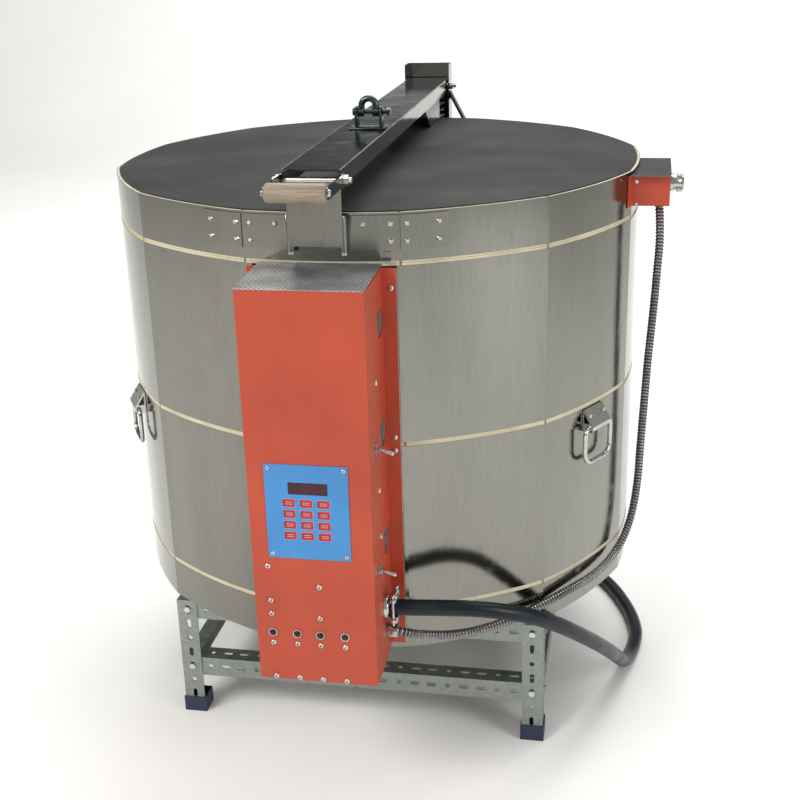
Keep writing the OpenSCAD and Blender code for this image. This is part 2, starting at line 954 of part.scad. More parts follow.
// Grip: a wooden handle on two arms that turn on a cross rod with nuts.
module grip_rod()
    color("gainsboro")
        translate([0, -rod_y, rod_z]) {
            rod_x(-54, 54, 8);
            for (side = [0, 1])
                mirror([side, 0, 0])
                    translate([arm_x + arm_t + 0.4, 0, 0])
                        rotate([0, 90, 0])
                            cylinder(h = 6, d = 14, $fn = 6);
        }

arm_x = bar_w / 2 + 0.6;
arm_t = 2.4;

module grip_arms()
    color("silver")
        for (side = [0, 1])
            mirror([side, 0, 0])
                translate([arm_x, 0, 0])
                    rotate([90, 0, 90])
                        linear_extrude(arm_t)
                            difference() {
                                union() {
                                    translate([-rod_y, rod_z])
                                        circle(9);
                                    translate([-grip_y, rod_z])
                                        circle(8);
                                    translate([-grip_y, rod_z - 8])
                                        square([grip_y - rod_y, 16]);
                                }
                                translate([-rod_y, rod_z])
                                    circle(4.05);
                            }

module wooden_grip()
    color("burlywood")
        translate([0, -grip_y, rod_z]) {
            rod_x(-arm_x, arm_x, 26);
            for (side = [0, 1])
                mirror([side, 0, 0])
                    translate([arm_x + arm_t, 0, 0])
                        rod_x(0, 3.4, 10);
        }

// ---- lid junction box, its lead, and the power cord ----------------------------------------

jb_x = [body_r + 2, 470];
jb_y = [-110, 20];
jb_z = [lid_z + 17, lid_z + 64];
jb_t = 1.6;
jb_side = [-88, 875];

// Junction box: a folded tray against the band with a drawn cover plate on top.
module junction_box()
    color("orangered") {
        difference() {
            union() {
                block([jb_x[0] - 24, jb_y[0], jb_z[0]], [jb_x[1], jb_y[1], jb_z[1]]);
                on_facet(2, 9.3, 0.2, jb_z[0])
                    translate([-9, -jb_t, 0])
                        cube([20, jb_t, jb_z[1] - jb_z[0]]);
            }
            translate([0, 0, jb_z[0] - 1])
                linear_extrude(jb_z[1])
                    outline(body_r + 0.2);
            block([jb_x[0] - 30, jb_y[0] + jb_t, jb_z[0] + jb_t],
                  [jb_x[1] - jb_t, jb_y[1] - jb_t, jb_z[1] + 1]);
            translate([0, jb_side[0], jb_side[1]])
                rod_x(jb_x[1] - 5, jb_x[1] + 5, 20.2);
        }
        difference() {
            block([jb_x[0] - 24, jb_y[0] - 1, jb_z[1]], [jb_x[1] + 1, jb_y[1] + 1, jb_z[1] + 1.4]);
            translate([0, 0, jb_z[0] - 1])
                linear_extrude(jb_z[1])
                    outline(body_r + 0.2);
        }
    }

module junction_connector()
    color("silver")
        translate([0, jb_side[0], jb_side[1]]) {
            rod_x(jb_x[1] - 8, jb_x[1], 20);
            rod_x(jb_x[1], jb_x[1] + 5, 28);
            rod_x(jb_x[1] + 5, jb_x[1] + 20, 24);
        }

// Fittings of the lead: its connector on the box and a clip on the floor band.
clip_k = 2;
clip_b = -2.7;

module conduit_fittings()
    color("silver") {
        translate([0, -fitting_y, fitting_z])
            difference() {
                union() {
                    rod_x(box_x - 8, box_x, 15.9);
                    rod_x(box_x, box_x + 6, 24);
                    rod_x(box_x + 6, box_x + 17, 20);
                }
                rod_x(box_x + 1, box_x + 30, conduit_d + 0.4);
            }
        on_facet(clip_k, clip_b, 0.2, 278)
            translate([-7, -2, -2])
                cube([14, 2, 9]);
    }

module conduit()
    color("gray")
        tube(conduit_route, conduit_d, 2, 10);

module cord_clamp()
    color("silver")
        translate([0, -clamp_y, clamp_z])
            difference() {
                union() {
                    rod_x(box_x - 10, box_x, 26.8);
                    rod_x(box_x, box_x + 7, 36);
                    block([box_x + 7, -12, -25], [box_x + 25, 12, 25]);
                }
                rod_x(box_x - 12, box_x + 30, cord_d + 0.3);
            }

module power_cord()
    color("black")
        tube(cord_route, cord_d, 2, 12);

// Plug: a round grip, a wider face and three blades, lying where the cord ends.
module power_plug()
    color("black")
        translate(cord_route[len(cord_route) - 1])
            rotate(186) {
                rod_x(0, 36, 40);
                rod_x(36, 74, 52);
                for (y = [-11, 11])
                    block([74, y - 1, -8], [98, y + 1, 8]);
                translate([0, 0, 16])
                    rod_x(74, 98, 5);
            }

stand_legs();
foot_caps();
upper_rails();
lower_rails();
stand_bolts();
base_board();
floor_slab();
floor_band();
lower_brick_ring();
upper_brick_ring();
lower_jacket();
upper_jacket();
wall_elements();
element_terminals();
thermocouple();
handle_brackets();
handle_bail_left();
handle_bail_right();
case_base();
case_cover();
case_grille();
case_screws();
faceplate();
display_window();
keypad_keys();
pilot_lamps();
controller_board();
relays();
transformer();
terminal_block();
toggle_bushings();
toggle_lever_upper();
toggle_lever_lower();
hinge_post();
hinge_stays();
lid_springs();
hinge_pin();
lid_slab();
lid_band();
lid_cover();
lid_elements();
lid_straps();
strap_pins();
lid_rivets();
lift_bar();
bar_gussets();
apron_plate();
bow_base();
bow_pin();
lifting_bow();
grip_rod();
grip_arms();
wooden_grip();
junction_box();
junction_connector();
conduit_fittings();
conduit();
cord_clamp();
power_cord();
power_plug();
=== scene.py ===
"""The looks of a pottery kiln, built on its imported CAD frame. In metres; its front is -Y."""
import math

import bmesh
import bpy
from mathutils import Matrix, Vector


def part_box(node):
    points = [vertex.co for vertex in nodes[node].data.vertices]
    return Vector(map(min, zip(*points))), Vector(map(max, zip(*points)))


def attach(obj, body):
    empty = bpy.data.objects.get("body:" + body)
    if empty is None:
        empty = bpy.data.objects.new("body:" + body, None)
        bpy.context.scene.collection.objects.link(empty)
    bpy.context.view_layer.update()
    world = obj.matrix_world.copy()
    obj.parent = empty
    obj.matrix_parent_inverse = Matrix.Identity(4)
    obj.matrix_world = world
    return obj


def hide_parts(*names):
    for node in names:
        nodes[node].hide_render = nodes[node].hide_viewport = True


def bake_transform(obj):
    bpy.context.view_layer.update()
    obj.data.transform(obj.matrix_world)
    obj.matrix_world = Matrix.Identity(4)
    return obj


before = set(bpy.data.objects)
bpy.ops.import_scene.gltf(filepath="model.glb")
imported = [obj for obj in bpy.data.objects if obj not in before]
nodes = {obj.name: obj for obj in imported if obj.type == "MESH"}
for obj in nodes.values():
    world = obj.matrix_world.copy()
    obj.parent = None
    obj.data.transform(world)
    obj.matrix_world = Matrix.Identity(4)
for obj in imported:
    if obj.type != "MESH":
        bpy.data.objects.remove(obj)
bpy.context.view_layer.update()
MM = 0.001
SHARP_ANGLE = math.radians(38)  # edges steeper than this are shaded sharp


# ---- camera ------------------------------------------------------------------------------------

def add_camera(place, yaw, pitch, roll, lens, shift):
    """A camera from its yaw, its pitch down and its roll, in radians."""
    forward = Vector((-math.sin(yaw) * math.cos(pitch), math.cos(yaw) * math.cos(pitch),
                      -math.sin(pitch)))
    level = Vector((math.cos(yaw), math.sin(yaw), 0))
    upright = level.cross(forward)
    right = level * math.cos(roll) + upright * math.sin(roll)
    up = upright * math.cos(roll) - level * math.sin(roll)
    data = bpy.data.cameras.new("camera")
    data.lens, data.sensor_width = lens, 36
    data.shift_x, data.shift_y = shift
    data.clip_end = 60  # past the far end of the backdrop
    camera = bpy.data.objects.new("camera", data)
    bpy.context.scene.collection.objects.link(camera)
    camera.matrix_world = (Matrix.Translation(place)
                           @ Matrix((right, up, -forward)).transposed().to_4x4())
    bpy.context.scene.camera = camera


add_camera(place=(0.4343, -2.1233, 1.2756), yaw=0.209, pitch=0.370, roll=-0.034, lens=58.95,
           shift=(0.0276, 0.0228))


# ---- materials ---------------------------------------------------------------------------------

class Nodes:
    """Short names for building one procedural material."""

    def __init__(self, name):
        self.material = bpy.data.materials.new(name)
        self.material.use_nodes = True
        self.tree = self.material.node_tree
        self.shader = self.tree.nodes["Principled BSDF"]
        self.place = self.tree.nodes.new("ShaderNodeTexCoord").outputs["Object"]

    def add(self, kind, links=(), **settings):
        node = self.tree.nodes.new(kind)
        for key, value in settings.items():
            if key in node.inputs.keys():
                node.inputs[key].default_value = value
            else:
                setattr(node, key, value)
        for socket, source in links:
            self.tree.links.new(source, node.inputs[socket])
        return node

    def noise(self, scale, detail=4.0, stretch=(1, 1, 1), roughness=0.55):
        place = self.add("ShaderNodeMapping", [("Vector", self.place)], Scale=stretch).outputs[0]
        return self.add("ShaderNodeTexNoise", [("Vector", place)],
                        Scale=scale, Detail=detail, Roughness=roughness).outputs["Fac"]

    def sum(self, a, share_a, b, share_b):
        """Two values added, each by its own share."""
        return self.math("ADD", self.math("MULTIPLY", a, share_a),
                         self.math("MULTIPLY", b, share_b))

    def ramp(self, value, stops):
        node = self.add("ShaderNodeValToRGB", [("Fac", value)])
        elements = node.color_ramp.elements
        while len(elements) < len(stops):
            elements.new(0.5)
        for element, (at, color) in zip(elements, stops):
            element.position = at
            element.color = (*color, 1)
        return node.outputs["Color"]

    def spread(self, value, low, high, start=0.3, end=0.7):
        """The value from start to end, mapped to run from low to high."""
        node = self.add("ShaderNodeMapRange", [("Value", value)])
        limits = {"From Min": start, "From Max": end, "To Min": low, "To Max": high}
        for key, number in limits.items():
            node.inputs[key].default_value = number
        return node.outputs["Result"]

    def math(self, operation, a, b=None):
        node = self.add("ShaderNodeMath", operation=operation)
        for k, value in enumerate((a, b)):
            if isinstance(value, (int, float)):
                node.inputs[k].default_value = value
            elif value is not None:
                self.tree.links.new(value, node.inputs[k])
        return node.outputs[0]

    def mix(self, factor, a, b):
        node = self.add("ShaderNodeMix", data_type="RGBA")
        for socket, value in ((0, factor), (6, a), (7, b)):
            if isinstance(value, tuple):
                node.inputs[socket].default_value = (*value, 1)
            else:
                self.tree.links.new(value, node.inputs[socket])
        return node.outputs[2]

    def axis(self, name):
        return self.add("ShaderNodeSeparateXYZ", [("Vector", self.place)]).outputs[name]

    def bump(self, height, strength, distance=0.001, under=None):
        links = [("Height", height)] + ([("Normal", under)] if under else [])
        return self.add("ShaderNodeBump", links, Strength=strength, Distance=distance).outputs[0]

    def done(self, color, rough, normal=None, **constants):
        """The finished material; rough may be a number, and constants go straight on the shader."""
        for key, value in constants.items():
            self.shader.inputs[key.replace("_", " ")].default_value = value
        for socket, value in (("Base Color", color), ("Roughness", rough), ("Normal", normal)):
            if isinstance(value, (int, float)):
                self.shader.inputs[socket].default_value = value
            elif value is not None:
                self.tree.links.new(value, self.shader.inputs[socket])
        return self.material


def sheet_steel(name, dark, light, rough, streak=(9, 9, 0.35)):
    """Rolled stainless: fine upright brushing, soft smears and slightly uneven flatness."""
    n = Nodes(name)
    smear = n.noise(3.2, 5, (1, 1, 0.25))
    brush = n.noise(60, 6, streak, 0.7)
    spots = n.noise(38, 3)
    tint = n.ramp(n.sum(smear, 0.7, brush, 0.3), [(0.3, dark), (0.72, light)])
    marks = n.spread(spots, 0.0, 0.10, 0.55, 0.75)
    uneven = n.math("ADD", n.spread(smear, rough * 0.7, rough * 1.5), marks)
    fine = n.bump(brush, 0.10, 0.0004)
    return n.done(tint, uneven, n.bump(smear, 0.22, 0.012, fine), Metallic=1.0)


def plated(name, dark, light, rough, scale=120.0, metallic=1.0):
    """Plated or galvanised steel: small spangles, duller patches and light scuffs."""
    n = Nodes(name)
    cells = n.add("ShaderNodeTexVoronoi", [("Vector", n.place)], Scale=scale).outputs["Color"]
    spangle = n.add("ShaderNodeRGBToBW", [("Color", cells)]).outputs[0]
    dull = n.noise(14, 5)
    tint = n.ramp(n.sum(spangle, 0.30, dull, 0.70), [(0.20, dark), (0.80, light)])
    scuff = n.noise(240, 4, (1, 1, 0.2))
    return n.done(tint, n.spread(dull, rough * 0.75, rough * 1.35), n.bump(scuff, 0.12, 0.0003),
                  Metallic=metallic)


def enamel(name, color, rough, peel=0.10, metallic=0.0):
    """Sprayed paint: orange peel, faint mottling and soft handling marks."""
    n = Nodes(name)
    patch = n.noise(7, 5)
    shade = tuple(c * 0.80 for c in color)
    tint = n.ramp(patch, [(0.3, shade), (0.7, color)])
    skin = n.noise(420, 2)
    return n.done(tint, n.spread(n.noise(26, 5), rough * 0.8, rough * 1.4),
                  n.bump(skin, peel, 0.0004), Metallic=metallic)


BRICK_ANGLE = math.radians(30)


def firebrick():
    """Soft insulating brick: open pores, crumbs and a joint every thirty degrees."""
    n = Nodes("firebrick")
    x, y = n.axis("X"), n.axis("Y")
    turn = n.math("DIVIDE", n.math("ARCTAN2", y, x), BRICK_ANGLE)
    from_joint = n.math("ABSOLUTE", n.math("SUBTRACT", n.math("FRACT", turn), 0.5))
    joint = n.spread(from_joint, 0.0, 1.0, 0.012, 0.004)
    pores = n.noise(330, 5, roughness=0.7)
    body = n.ramp(n.noise(16, 6), [(0.3, (0.50, 0.45, 0.31)), (0.7, (0.68, 0.62, 0.46))])
    grain = n.mix(n.spread(pores, 0.35, 0.0, 0.35, 0.5), body, (0.42, 0.35, 0.22))
    tint = n.mix(joint, grain, (0.20, 0.16, 0.10))
    return n.done(tint, 0.92, n.bump(pores, 0.6, 0.0012))


def lid_sheet():
    """The lid's dull sheet: cloudy oxide, wipe marks and a soft sheen."""
    n = Nodes("lid_sheet")
    cloud = n.noise(5.5, 8, roughness=0.65)
    wipe = n.noise(20, 6, (1, 4, 1), 0.7)
    tint = n.ramp(n.sum(cloud, 0.7, wipe, 0.3),
                  [(0.35, (0.022, 0.027, 0.026)), (0.52, (0.038, 0.044, 0.042)),
                   (0.68, (0.066, 0.068, 0.060))])
    return n.done(tint, n.spread(cloud, 0.40, 0.60), n.bump(cloud, 0.25, 0.004), Metallic=0.3,
                  Specular_IOR_Level=0.2)


def turned_wood():
    """Turned handle: pale grain along X, darker pores and a worn, waxy surface."""
    n = Nodes("turned_wood")
    grain = n.noise(70, 7, (0.12, 1, 1), 0.65)
    pores = n.noise(380, 3, (0.06, 1, 1))
    tint = n.ramp(grain, [(0.3, (0.20, 0.15, 0.105)), (0.5, (0.28, 0.225, 0.165)),
                          (0.72, (0.34, 0.285, 0.215))])
    tint = n.mix(n.spread(pores, 0.5, 0.0, 0.36, 0.46), tint, (0.13, 0.09, 0.06))
    return n.done(tint, n.spread(grain, 0.42, 0.6), n.bump(pores, 0.2, 0.0004))


HOLE_PITCH = 7.0 * MM


def perforated():
    """Perforated sheet: staggered round holes, worked out from X and Y, painted near-black as the
    shade inside the case seen through them.
    """
    n = Nodes("perforated")
    squares = []
    for operation in ("ADD", "SUBTRACT"):
        row = n.math("DIVIDE", n.math(operation, n.axis("X"), n.axis("Y")), HOLE_PITCH)
        off = n.math("SUBTRACT", n.math("FRACT", row), 0.5)
        squares.append(n.math("MULTIPLY", off, off))
    far = n.math("SQRT", n.math("ADD", *squares))
    web = n.spread(far, 0.0, 1.0, 0.30, 0.36)
    steel = n.ramp(n.noise(30, 4), [(0.3, (0.34, 0.35, 0.36)), (0.7, (0.58, 0.59, 0.60))])
    # The near-black in the holes is painted shade: the sheet has no real openings.
    tint = n.mix(web, (0.018, 0.018, 0.020), steel)
    return n.done(tint, n.spread(web, 0.8, 0.34, 0, 1), n.bump(web, 0.8, 0.0012), Metallic=0.8)


def moulded(name, color, rough, specular=0.5):
    """Moulded plastic or rubber: fine texture, faint scuffs and dust."""
    n = Nodes(name)
    dust = n.noise(22, 6)
    pale = tuple(min(1, c * 1.4 + 0.006) for c in color)
    tint = n.ramp(dust, [(0.35, color), (0.8, pale)])
    return n.done(tint, n.spread(dust, rough * 0.8, rough * 1.3),
                  n.bump(n.noise(520, 3), 0.12, 0.0003), Specular_IOR_Level=specular)


def lens_plastic(name, color, rough):
    """Dark clear plastic: cloudy depth under a thin gloss."""
    n = Nodes(name)
    depth = n.noise(180, 3)
    tint = n.ramp(depth, [(0.3, tuple(c * 0.6 for c in color)), (0.7, color)])
    return n.done(tint, n.spread(depth, rough, rough * 1.6), n.bump(depth, 0.05, 0.0003),
                  Specular_IOR_Level=0.3, Coat_Weight=0.15, Coat_Roughness=0.08)


stainless = sheet_steel("stainless", (0.15, 0.147, 0.128), (0.30, 0.297, 0.265), 0.11)
bar_steel = sheet_steel("bar_steel", (0.11, 0.118, 0.112), (0.25, 0.26, 0.245), 0.09, (9, 0.35, 9))
strap_steel = sheet_steel("strap_steel", (0.15, 0.148, 0.13), (0.30, 0.297, 0.27), 0.20)
galvanised = plated("galvanised", (0.22, 0.245, 0.235), (0.38, 0.415, 0.40), 0.45, 260)
mesh_steel = plated("mesh_steel", (0.10, 0.105, 0.105), (0.26, 0.27, 0.27), 0.5, 400)
zinc = plated("zinc", (0.46, 0.46, 0.44), (0.76, 0.76, 0.73), 0.28, 300)
polished = plated("polished", (0.30, 0.30, 0.29), (0.62, 0.62, 0.60), 0.12, 500)
dark_steel = plated("dark_steel", (0.020, 0.030, 0.030), (0.10, 0.13, 0.12), 0.20, 260)
conduit_steel = plated("conduit_steel", (0.12, 0.12, 0.122), (0.40, 0.40, 0.40), 0.26, 420)
orange = enamel("orange", (0.46, 0.058, 0.022), 0.40)
blue = enamel("blue_overlay", (0.045, 0.235, 0.56), 0.34, 0.04)
key_red = enamel("key_red", (0.42, 0.014, 0.020), 0.40, 0.05)
key_white = enamel("key_white", (0.42, 0.42, 0.48), 0.42, 0.04)
key_print = enamel("key_print", (0.55, 0.30, 0.30), 0.42, 0.04)
window = lens_plastic("window", (0.050, 0.008, 0.014), 0.22)
lens_red = lens_plastic("lens_red", (0.030, 0.002, 0.003), 0.18)
segment = lens_plastic("segment", (0.085, 0.010, 0.014), 0.3)
# Near-black: the print on the keys, and painted shade in the screws' cross recesses and the lid
# lead's grooves.
ink_and_painted_shade = enamel("ink_and_painted_shade", (0.030, 0.025, 0.030), 0.5, 0.03)
brick = firebrick()
cover = lid_sheet()
wood = turned_wood()
grille = perforated()
board = moulded("fibre_board", (0.22, 0.21, 0.19), 0.85)
ceramic = moulded("ceramic", (0.66, 0.63, 0.56), 0.55)
cap_plastic = moulded("cap_plastic", (0.012, 0.016, 0.045), 0.42)
rubber = moulded("cord_rubber", (0.0025, 0.007, 0.011), 0.34, 0.28)
black = moulded("black_plastic", (0.018, 0.018, 0.020), 0.5)
circuit = enamel("circuit", (0.02, 0.13, 0.055), 0.4)
core = enamel("core_steel", (0.08, 0.08, 0.085), 0.5, 0.1, 0.6)
wire = plated("element_wire", (0.07, 0.055, 0.05), (0.20, 0.17, 0.155), 0.6, 200, 0.6)

# The CAD nodes that stay, by material.
FINISH = {
    stainless: ["lower_jacket", "upper_jacket", "floor_band", "lid_band"],
    bar_steel: ["hinge_post", "lift_bar", "grip_arms"],
    strap_steel: ["apron_plate", "lid_straps"],
    galvanised: ["stand_legs", "upper_rails", "lower_rails"],
    zinc: ["stand_bolts", "hinge_pin", "strap_pins", "lid_rivets", "grip_rod"],
    polished: ["handle_brackets", "handle_bail_left", "handle_bail_right", "toggle_bushings",
               "toggle_lever_upper", "toggle_lever_lower", "conduit_fittings"],
    dark_steel: ["hinge_stays", "bar_gussets", "bow_pin", "lifting_bow"],
    orange: ["case_base", "case_cover", "junction_box"],
    brick: ["floor_slab", "lower_brick_ring", "upper_brick_ring", "lid_slab"],
    blue: ["faceplate"],
    cover: ["lid_cover"],
    grille: ["case_grille"],
    board: ["base_board"],
    ceramic: ["element_terminals", "thermocouple"],
    cap_plastic: ["foot_caps"],
    black: ["relays", "terminal_block", "power_plug"],
    circuit: ["controller_board"],
    core: ["transformer"],
}
for material, names in FINISH.items():
    for name in names:
        data = nodes[name].data
        data.materials.clear()
        data.materials.append(material)


# ---- mesh helpers ------------------------------------------------------------------------------

def piece(name, verts, faces, material, slot, smooth=True):
    """A new mesh object with one material; its slot argument is not used."""
    data = bpy.data.meshes.new(name)
    data.from_pydata([tuple(v) for v in verts], [], faces)
    data.validate()
    data.update()
    data.materials.append(material)
    for polygon in data.polygons:
        polygon.use_smooth = smooth
    data.set_sharp_from_angle(angle=SHARP_ANGLE)
    made = bpy.data.objects.new(name, data)
    bpy.context.scene.collection.objects.link(made)
    return made


def joined(parts):
    """One vertex and face list from several."""
    verts, faces = [], []
    for part_verts, part_faces in parts:
        faces += [[k + len(verts) for k in face] for face in part_faces]
        verts += part_verts
    return verts, faces


def spline(points, per):
    """A smooth line through the points, with per steps between each two."""
    points = [Vector(p) for p in points]
    line = []
    for i in range(len(points) - 1):
        a, b = points[max(i - 1, 0)], points[i]
        c, d = points[i + 1], points[min(i + 2, len(points) - 1)]
        for k in range(per):
            t = k / per
            line.append(0.5 * (2 * b + (c - a) * t + (2 * a - 5 * b + 4 * c - d) * t * t
                               + (3 * b - a - 3 * c + d) * t ** 3))
    return line + [points[-1]]


def even(line, step):
    """The same line with points a fixed step apart."""
    out, carry = [line[0]], 0.0
    for a, b in zip(line, line[1:]):
        length = (b - a).length
        while carry + length >= step:
            t = (step - carry) / length
            a = a.lerp(b, t)
            length = (b - a).length
            out.append(a.copy())
            carry = 0.0
        carry += length
    return out


def tube(line, radius, sides, closed=False):
    """A tube along the line; radius is a number or a function of the ring's number."""
    verts, faces = [], []
    count = len(line)
    normal = Vector((0, 0, 1))
    for i, point in enumerate(line):
        if closed:
            along = line[(i + 1) % count] - line[i - 1]
        else:
            along = line[min(i + 1, count - 1)] - line[max(i - 1, 0)]
        along.normalize()
        if abs(normal.dot(along)) > 0.98:
            normal = Vector((0, 1, 0)) if abs(along.y) < 0.9 else Vector((1, 0, 0))
        normal = (normal - along * normal.dot(along)).normalized()
        side = along.cross(normal)
        r = radius(i) if callable(radius) else radius
        for k in range(sides):
            a = 2 * math.pi * k / sides
            verts.append(point + normal * r * math.cos(a) + side * r * math.sin(a))
    last = count if closed else count - 1
    for i in range(last):
        for k in range(sides):
            a, b = i * sides + k, i * sides + (k + 1) % sides
            c, d = (b + sides) % (count * sides), (a + sides) % (count * sides)
            faces.append([a, b, c, d])
    if not closed:
        faces.append(list(range(sides))[::-1])
        faces.append([(count - 1) * sides + k for k in range(sides)])
    return verts, faces


def turned(profile, at, direction, sides=32):
    """A lathe shape: profile is [(radius, height)], height measured from at along direction."""
    axis = Vector(direction).normalized()
    first = axis.orthogonal().normalized()
    second = axis.cross(first)
    verts, faces = [], []
    for r, h in profile:
        for k in range(sides):
            a = 2 * math.pi * k / sides
            verts.append(Vector(at) + axis * h
                         + (first * math.cos(a) + second * math.sin(a)) * max(r, 1e-5))
    for i in range(len(profile) - 1):
        for k in range(sides):
            a, b = i * sides + k, i * sides + (k + 1) % sides
            faces.append([a, b, b + sides, a + sides])
    faces.append([k for k in range(sides)][::-1])
    faces.append([(len(profile) - 1) * sides + k for k in range(sides)])
    return verts, faces


def mm_turned(profile, at, direction, sides=32):
    """A lathe shape whose profile is in mm."""
    return turned([(r * MM, h * MM) for r, h in profile], at, direction, sides)


def dome(radius, height):
    """Profile of a pan head: an upright rim that rounds over to its middle."""
    steps = 5
    curve = [(radius * math.cos(a), height * (0.35 + 0.65 * math.sin(a)))
             for a in (k * math.pi / 2 / steps for k in range(steps + 1))]
    return [(radius, 0)] + curve


def slab(low, high, round_by=0.0):
    """A plate in the XZ plane with rounded corners; its thickness is along Y."""
    (x0, y0, z0), (x1, y1, z1) = low, high
    steps = 3
    outline = []
    for cx, cz, start in ((x1, z1, 0), (x0, z1, 90), (x0, z0, 180), (x1, z0, 270)):
        for k in range(steps + 1):
            a = math.radians(start + 90 * k / steps)
            sx, sz = (1 if cx == x1 else -1), (1 if cz == z1 else -1)
            outline.append((cx - sx * round_by + round_by * math.cos(a),
                            cz - sz * round_by + round_by * math.sin(a)))
    count = len(outline)
    verts = [Vector((x, y0, z)) for x, z in outline] + [Vector((x, y1, z)) for x, z in outline]
    faces = [list(range(count)), [count + k for k in range(count)][::-1]]
    for k in range(count):
        n = (k + 1) % count
        faces.append([k, k + count, n + count, n])
    return verts, faces


def block(low, high, bevel):
    """A box with rounded edges."""
    low, high = Vector(low), Vector(high)
    mesh = bmesh.new()
    bmesh.ops.create_cube(mesh, size=1)
    for vert in mesh.verts:
        vert.co = Vector(((low[k] + high[k]) / 2 + vert.co[k] * (high[k] - low[k])
                          for k in range(3)))
    bmesh.ops.bevel(mesh, geom=mesh.edges[:], offset=bevel, segments=3, profile=0.5,
                    affect="EDGES")
    mesh.verts.index_update()
    verts = [vert.co.copy() for vert in mesh.verts]
    faces = [[vert.index for vert in face.verts] for face in mesh.faces]
    mesh.free()
    return verts, faces


def mm_block(low, high, bevel):
    """The same, in mm."""
    return block([v * MM for v in low], [v * MM for v in high], bevel * MM)


def prism(outline, low, high):
    """An upright prism on an outline of XY points."""
    count = len(outline)
    verts = [Vector((x, y, z)) for z in (low, high) for x, y in outline]
    faces = [list(range(count))[::-1], [count + k for k in range(count)]]
    for k in range(count):
        n = (k + 1) % count
        faces.append([k, n, count + n, count + k])
    return verts, faces


def woven_disc(x, y, z, radius, pitch, wire_radius):
    """Woven wire over a round opening in a wall that faces X."""
    parts = []
    count = int(radius / pitch)
    for k in range(-count, count + 1):
        off = k * pitch
        half = math.sqrt(radius * radius - off * off)
        lift = wire_radius * (1 if k % 2 else -1)
        parts.append(tube([Vector((x, y - half, z + off)), Vector((x + lift, y, z + off)),
                           Vector((x, y + half, z + off))], wire_radius, 6))
        parts.append(tube([Vector((x, y + off, z - half)), Vector((x - lift, y + off, z)),
                           Vector((x, y + off, z + half))], wire_radius, 6))
    ring = [Vector((x, y + radius * math.cos(a), z + radius * math.sin(a)))
            for a in (2 * math.pi * k / 48 for k in range(48))]
    return parts + [tube(ring, wire_radius * 2, 8, closed=True)]


# ---- leads -------------------------------------------------------------------------------------

# The power cord's route in mm, the same as in part.scad.
CORD = [
    (80, -478, 330), (120, -478, 330), (165, -473, 330), (212, -465, 328), (256, -450, 318),
    (296, -427, 300), (334, -385, 264), (367, -333, 218), (393, -270, 166), (410, -200, 112),
    (421, -135, 64), (430, -82, 27), (439, -40, 14), (447, 5, 12), (449, 50, 12), (440, 105, 12),
    (423, 160, 12), (400, 214, 12), (371, 262, 12), (336, 312, 12), (298, 362, 12),
    (256, 410, 12), (206, 450, 12), (150, 482, 12), (92, 499, 12), (30, 506, 12), (-34, 506, 12),
    (-98, 501, 12), (-158, 495, 16), (-210, 490, 22), (-246, 487, 26),
]
# The route of the lead to the lid in mm, the same as in part.scad.
LEAD = [
    (455, -95, 842), (457, -95, 815), (458, -95, 780), (456, -96, 735), (454, -98, 690),
    (451, -100, 640), (448, -101, 590), (446, -102, 540), (444, -103, 490), (442, -105, 440),
    (440, -108, 385), (434, -116, 335), (424, -131, 300), (411, -152, 279), (397, -184, 271),
    (378, -220, 267), (357, -252, 266), (332, -284, 264), (304, -314, 259), (274, -342, 254),
    (242, -372, 252), (208, -402, 254), (175, -428, 260), (148, -448, 269), (128, -464, 278),
    (114, -472, 285), (104, -473, 287), (92, -473, 287),
]


def metres(points):
    """Points in mm as vectors in metres."""
    return [Vector(p) * MM for p in points]


cord_line = spline(metres(CORD), 8)
cord_radius = 11.9 * MM
power_cord = piece("power_lead", *tube(cord_line, cord_radius, 20), rubber, "cord_rubber")
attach(power_cord, "kiln")
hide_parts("power_cord")

# The lead is spiral-wound steel: rounded ribs, with a groove between each two down to a near-black
# core, which is painted shade in the grooves.
RIB = (5.3, 6.6, 7.0, 6.6, 5.3)  # the radius in mm at each step across one rib
RIB_STEP = 1.05 * MM
GROOVE_SHADE_RADIUS = 5.6 * MM
lead_line = even(spline(metres(LEAD), 8), RIB_STEP)
lead = piece("lid_lead", *tube(lead_line, lambda i: RIB[i % len(RIB)] * MM, 14), conduit_steel,
             "conduit_steel")
# The core's near-black colour is painted shade: it shows only deep in the grooves between the ribs.
groove_shade = piece("lid_lead_groove_shade", *tube(spline(metres(LEAD), 3), GROOVE_SHADE_RADIUS, 12), ink_and_painted_shade,
              "conduit_steel")
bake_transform(groove_shade)
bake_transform(lead)
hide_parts("conduit")


# ---- lid springs -------------------------------------------------------------------------------

def coil_spring(x, y, low, high, radius, wire_radius, turns):
    """A compression spring with a closed turn at each end."""
    line, steps = [], 18
    for k in range(int((turns + 2) * steps) + 1):
        t = k / steps
        rise = min(max(t - 1, 0), turns) / turns
        ends = wire_radius + min(t, 1) * wire_radius + max(t - 1 - turns, 0) * wire_radius
        z = low + ends + rise * (high - low - 4 * wire_radius)
        a = 2 * math.pi * t
        line.append(Vector((x + radius * math.cos(a), y + radius * math.sin(a), z)))
    return tube(line, wire_radius, 8)


SPRING_WIRE = 2.3 * MM
SPRING_TURNS = 14
low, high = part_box("lid_springs")
spring_r = (high.y - low.y) / 2
middle_y = (low.y + high.y) / 2
coil_radius = spring_r - SPRING_WIRE - 0.1 * MM
springs = joined([coil_spring(side * (high.x - spring_r), middle_y, low.z, high.z, coil_radius,
                              SPRING_WIRE, SPRING_TURNS) for side in (-1, 1)])
springs = piece("lift_springs", *springs, dark_steel, "dark_steel")
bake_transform(springs)
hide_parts("lid_springs")


# ---- heating coils -----------------------------------------------------------------------------

